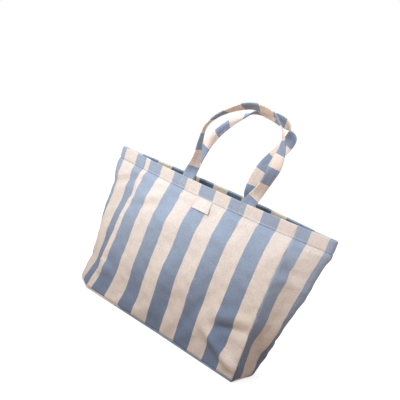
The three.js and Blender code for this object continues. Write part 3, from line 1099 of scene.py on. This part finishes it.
def make_label(wall):
    """A small blank label, sewn along its top edge under the foot of the hem."""
    top = HEM_LINE + 0.0008
    down = np.concatenate([[0.0, 0.0004], steps(0.001, LABEL_HEIGHT - 0.001, 0.0015), [LABEL_HEIGHT]])
    across = np.concatenate([[-0.5, -0.49], np.linspace(-0.47, 0.47, 26), [0.49, 0.5]]) * LABEL_WIDTH
    s, d = np.meshgrid(across, down)
    drop = d / LABEL_HEIGHT
    sides = (across / LABEL_WIDTH * 2)[None, :] ** 2
    stand_off = LABEL_GAP + LABEL_LIFT * drop ** 1.6 + LABEL_CUP * drop * sides
    curl = LABEL_CURL * drop ** 2 * ripples(s, d, 0.030, 91)
    grid = wall.point(LABEL_X + s + LABEL_HANG * drop, top - d, stand_off + curl)
    uv = np.stack([s, -d], axis=-1)
    label = slab("label_cloth_piece", grid[::-1], LABEL_CLOTH, uv[::-1], LABEL)
    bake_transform(label)
    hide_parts("label_tab", "label_flap")
    half = LABEL_WIDTH / 2 - 0.002
    path = [(LABEL_X + k, top - 0.0018) for k in np.linspace(-half, half, 20)]
    row = wall_stitches(wall, path, lift=0.0013, pitch=0.0026)
    thread = stitches("label_stitching", *row, THREAD_LOOK, length=0.0019, width=0.0005)
    sew_on(thread, "thread", "label_stitch")


# ---- studio

CIRCLE_SIDES = 64
ROOM_RADIUS = 5.0
ROOM_HEIGHT = 7.0
SHADE_RADIUS = 0.40

# Light from the room: how high it comes from, from 0 below to 1 above, and its colour
FROM_BELOW = (0.42, (0.85, 0.67, 0.54, 1.0))
FROM_SIDES = (0.52, (0.50, 0.48, 0.47, 1.0))
FROM_ABOVE = (0.85, (0.62, 0.64, 0.68, 1.0))

CAMERA_LENS = 47.109
CAMERA_PLACE = (0.43796, -0.94293, 0.51535)
CAMERA_RIGHT = (0.81478, 0.48741, 0.31396)
CAMERA_UP = (-0.38121, 0.04237, 0.92352)


def glowing_paint(name, shade, colour, glow):
    """Matt grey paint with a glow of its own."""
    n = Nodes(name)
    n.set("Base Color", (shade, shade, shade, 1.0))
    n.set("Specular IOR Level", 0.0)
    n.set("Emission Color", colour)
    n.set("Emission Strength", glow)
    return n


def circle(radius):
    """Points round a level circle about the origin."""
    turns = [math.tau * k / CIRCLE_SIDES for k in range(CIRCLE_SIDES)]
    return [(radius * math.cos(turn), radius * math.sin(turn), 0.0) for turn in turns]


def stage_piece(name, points, faces, material, height):
    """A piece of the studio."""
    mesh = bpy.data.meshes.new(name)
    mesh.from_pydata(points, [], faces)
    mesh.materials.append(material)
    piece = add_object(name, mesh)
    piece.location.z = height
    return piece


def make_stage():
    """A plain white floor and a round white wall, which don't throw their light on the bag."""
    ring = circle(ROOM_RADIUS)
    wall_points = ring + [(x, y, ROOM_HEIGHT) for x, y, _ in ring]
    wall_faces = grid_faces(2, CIRCLE_SIDES, True)
    for name, points, faces, shade, glow in (
        ("floor", ring, [tuple(range(CIRCLE_SIDES))], 0.5, 0.72),
        ("surround", wall_points, wall_faces, 0.0, 1.0),
    ):
        paint = glowing_paint(name + "_paint", shade, (1.0, 1.0, 1.0, 1.0), glow)
        paint.set("Roughness", 0.95)
        paint.material.cycles.emission_sampling = "NONE"
        piece = stage_piece(name, points, faces, paint.material, -0.0002)
        piece.visible_diffuse = False
        piece.visible_glossy = False
        piece.visible_shadow = False


def make_shade():
    """A dim warm disc just under the floor, unseen, that keeps bright light off the foot of the bag."""
    paint = glowing_paint("shade_paint", 0.0, (0.25, 0.16, 0.10, 1.0), 1.0)
    disc = [tuple(range(CIRCLE_SIDES))]
    piece = stage_piece("shade", circle(SHADE_RADIUS), disc, paint.material, -0.0006)
    piece.visible_camera = False


def area_light(name, place, aim, size, power, colour):
    """A soft square light at a place, turned towards a point."""
    data = bpy.data.lights.new(name, "AREA")
    data.size = size
    data.energy = power
    data.color = colour
    light = add_object(name, data)
    light.location = place
    light.rotation_euler = (Vector(aim) - Vector(place)).to_track_quat("-Z", "Y").to_euler()


def make_lights():
    """Soft light from above and from the front and left, in a room that glows warmly from below."""
    world = bpy.data.worlds.new("room")
    world.use_nodes = True
    tree = world.node_tree
    kinds = ("TexCoord", "SeparateXYZ", "MapRange", "ValToRGB")
    direction, split, shift, ramp = (tree.nodes.new("ShaderNode" + kind) for kind in kinds)
    shift.inputs["From Min"].default_value = -1.0
    tree.links.new(direction.outputs["Generated"], split.inputs[0])
    tree.links.new(split.outputs["Z"], shift.inputs["Value"])
    tree.links.new(shift.outputs["Result"], ramp.inputs["Fac"])
    bands = ramp.color_ramp.elements
    bands[0].position, bands[0].color = FROM_BELOW
    bands[1].position, bands[1].color = FROM_ABOVE
    bands.new(FROM_SIDES[0]).color = FROM_SIDES[1]
    tree.links.new(ramp.outputs["Color"], tree.nodes["Background"].inputs["Color"])
    tree.nodes["Background"].inputs["Strength"].default_value = 1.0
    bpy.context.scene.world = world
    area_light("key", (-0.28, -0.72, 0.74), (0, 0, 0.25), 0.45, 6.3, (0.93, 0.98, 1.0))
    area_light("top", (0.0, 0.3, 1.6), (0, 0, 0.2), 0.9, 7.0, (0.97, 0.99, 1.0))
    bpy.context.scene.view_settings.view_transform = "Standard"


def make_camera():
    """Looks down on the bag from the front and right, tilted."""
    data = bpy.data.cameras.new("camera")
    data.lens = CAMERA_LENS
    data.sensor_width = 36.0
    data.clip_start = 0.01
    camera = add_object("camera", data)
    right = Vector(CAMERA_RIGHT)
    back = right.cross(Vector(CAMERA_UP)).normalized()
    up = back.cross(right).normalized()
    turned = Matrix((right.normalized(), up, back)).transposed().to_4x4()
    camera.matrix_world = Matrix.Translation(CAMERA_PLACE) @ turned
    bpy.context.scene.camera = camera


# ---- the whole bag

def make_bag():
    """Every piece of the bag, from the walls out."""
    walls = make_walls()
    settle(walls)
    front, _, back, _ = walls
    for wall in walls:
        make_wall(walls, wall)
    make_base(walls)
    for order, name in enumerate(("front_right_seam_binding", "back_right_seam_binding",
                                  "back_left_seam_binding", "front_left_seam_binding")):
        make_seam_tape(walls, order, name)
    make_base_tape(walls)
    make_hem_topstitch(walls)
    half = STRAP_SPACING / 2
    for side, wall, route, centre_x, outward, start, crowded in (
        ("front", front, FRONT_ROUTE, FRONT_STRAP_X, -1, 0.056, (0.55, 0.78, 0.034)),
        ("back", back, BACK_ROUTE, BACK_STRAP_X, 1, 0.012, (0.56, 0.64, 0.034)),
    ):
        name = side + "_handle"
        nodes = [name, name + "_left_sewn_end", name + "_right_sewn_end"]
        make_handle(name, wall, route, centre_x, outward, start, crowded, nodes)
        make_box_stitch(name + "_left_box_stitch", wall, centre_x - half, outward)
        make_box_stitch(name + "_right_box_stitch", wall, centre_x + half, outward)
    make_label(front)


make_bag()
make_stage()
make_shade()
make_lights()
make_camera()
